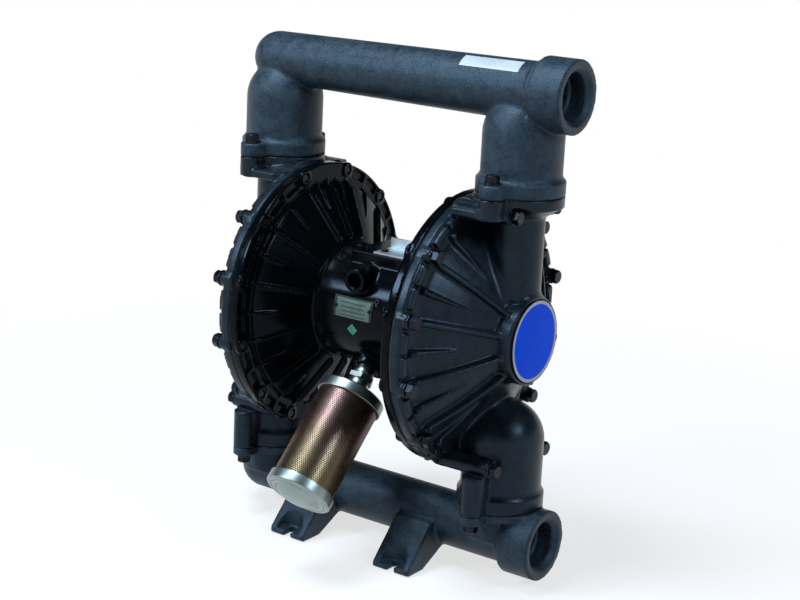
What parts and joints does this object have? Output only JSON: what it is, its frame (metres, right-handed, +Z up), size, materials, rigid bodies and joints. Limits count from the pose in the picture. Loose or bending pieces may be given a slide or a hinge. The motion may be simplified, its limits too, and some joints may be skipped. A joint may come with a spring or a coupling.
{
  "type": "diaphragm pump",
  "caption": "Air-driven double-diaphragm pump with ribbed round fluid covers, ported outlet and inlet manifolds, slotted feet, centre air housing and a canister muffler.",
  "frame": {"origin": "on the floor under the pump, at the centre of the four foot slots", "axes": "+X along the diaphragm shaft, the way the fluid ports open; -Y towards the air inlet and muffler; +Z up"},
  "size_m": [0.5019, 0.3963, 0.6747],
  "materials": {
    "casting": "satin, fine-grained dark blue-grey epoxy coat on cast aluminium",
    "housing_paint": "gloss black paint on cast aluminium",
    "fastener": "dark zinc-plated steel",
    "seat_steel": "turned steel",
    "seal": "matt black rubber",
    "gasket": "matt dark fibre",
    "ball": "smooth off-white elastomer",
    "shaft_steel": "ground steel",
    "plate_alloy": "bare aluminium",
    "bearing": "bearing plastic",
    "valve_plastic": "valve plastic",
    "zinc": "bright zinc plate",
    "mesh": "yellow-passivated perforated steel sheet",
    "core": "sound-damping felt",
    "label": "gloss blue with a silver ring",
    "name_plate": "satin anodised sheet"
  },
  "bodies": {
    "pump_body": {"outlet_manifold": "casting", "inlet_manifold": "casting", "left_fluid_cover": "casting", "right_fluid_cover": "casting", "left_air_cover": "housing_paint", "right_air_cover": "housing_paint", "center_housing": "housing_paint", "valve_cover": "housing_paint", "left_hub_gasket": "gasket", "right_hub_gasket": "gasket", "valve_gasket": "gasket", "hub_screws_left": "fastener", "hub_screws_right": "fastener", "cover_bolts_left": "fastener", "cover_bolts_right": "fastener", "outlet_bolts": "fastener", "inlet_bolts": "fastener", "valve_end_plugs": "fastener", "valve_cover_screws": "fastener", "name_plate_pins": "fastener", "bracket_screws": "fastener", "ground_screw": "fastener", "housing_plugs": "fastener", "outlet_seats": "seat_steel", "inlet_seats": "seat_steel", "outlet_seat_rings": "seal", "inlet_seat_rings": "seal", "shaft_seals": "seal", "left_diaphragm": "seal", "right_diaphragm": "seal", "valve_plate": "shaft_steel", "valve_block": "plate_alloy", "shaft_bearings": "bearing", "pilot_bushes": "bearing", "exhaust_nipple": "zinc", "muffler_top_cap": "zinc", "muffler_bottom_cap": "zinc", "top_bracket": "zinc", "muffler_mesh": "mesh", "muffler_core": "core", "label_disc": "label", "name_plate": "name_plate"},
    "shaft": {"diaphragm_shaft": "shaft_steel", "shaft_bolts": "shaft_steel", "left_air_plate": "plate_alloy", "right_air_plate": "plate_alloy", "left_fluid_plate": "plate_alloy", "right_fluid_plate": "plate_alloy"},
    "outlet_ball_left": {"outlet_ball_left": "ball"},
    "outlet_ball_right": {"outlet_ball_right": "ball"},
    "inlet_ball_left": {"inlet_ball_left": "ball"},
    "inlet_ball_right": {"inlet_ball_right": "ball"},
    "air_valve": {"valve_carriage": "valve_plastic", "valve_pistons": "valve_plastic"},
    "left_pilot_pin": {"left_pilot_pin": "shaft_steel"},
    "right_pilot_pin": {"right_pilot_pin": "shaft_steel"}
  },
  "joints": [
    {"name": "shaft_stroke", "type": "slide", "parent": "pump_body", "child": "shaft", "axis": [1, 0, 0], "range_m": [-0.02, 0.02], "deforming": ["left_diaphragm", "right_diaphragm"]},
    {"name": "outlet_ball_left_lift", "type": "slide", "parent": "pump_body", "child": "outlet_ball_left", "axis": [0, 0, 1], "range_m": [0, 0.014]},
    {"name": "outlet_ball_right_lift", "type": "slide", "parent": "pump_body", "child": "outlet_ball_right", "axis": [0, 0, 1], "range_m": [0, 0.014]},
    {"name": "inlet_ball_left_lift", "type": "slide", "parent": "pump_body", "child": "inlet_ball_left", "axis": [0, 0, 1], "range_m": [0, 0.014]},
    {"name": "inlet_ball_right_lift", "type": "slide", "parent": "pump_body", "child": "inlet_ball_right", "axis": [0, 0, 1], "range_m": [0, 0.014]},
    {"name": "air_valve_shift", "type": "slide", "parent": "pump_body", "child": "air_valve", "axis": [1, 0, 0], "range_m": [-0.007, 0.007]},
    {"name": "left_pilot_push", "type": "slide", "parent": "pump_body", "child": "left_pilot_pin", "axis": [1, 0, 0], "range_m": [-0.004, 0]},
    {"name": "right_pilot_push", "type": "slide", "parent": "pump_body", "child": "right_pilot_pin", "axis": [1, 0, 0], "range_m": [0, 0.004]}
  ]
}
